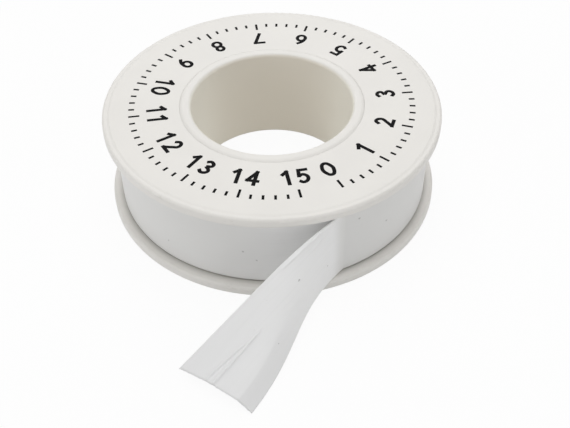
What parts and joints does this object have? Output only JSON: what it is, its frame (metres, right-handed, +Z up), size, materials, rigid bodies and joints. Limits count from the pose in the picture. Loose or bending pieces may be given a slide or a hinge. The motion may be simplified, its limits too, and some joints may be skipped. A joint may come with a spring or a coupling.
{
  "type": "thread seal tape roll",
  "caption": "White flanged plastic spool wound with thin thread seal tape; its loose end leaves the winding upright, twists over and lies flat. The tape unwinds, and the bore takes a peg.",
  "frame": {"origin": "on the spool's axis, at the underside of the lower flange", "axes": "+Z up along the spool's axis, towards the flange with the lip; the loose end of the tape points towards -Y"},
  "size_m": [0.053, 0.0732, 0.0162],
  "materials": {
    "spool_plastic": "satin",
    "tape_film": "satin",
    "print_ink": "matte"
  },
  "bodies": {
    "roll": {"spool_base": "spool_plastic", "upper_flange": "spool_plastic", "tape_winding": "tape_film"},
    "tape_lead": {"tape_outer_turn": "tape_film", "tape_tail": "tape_film"}
  },
  "joints": [
    {"name": "unwind", "type": "hinge", "parent": "roll", "child": "tape_lead", "pos_m": [0, 0, 0.008], "axis": [0, 0, 1], "continuous": true}
  ]
}
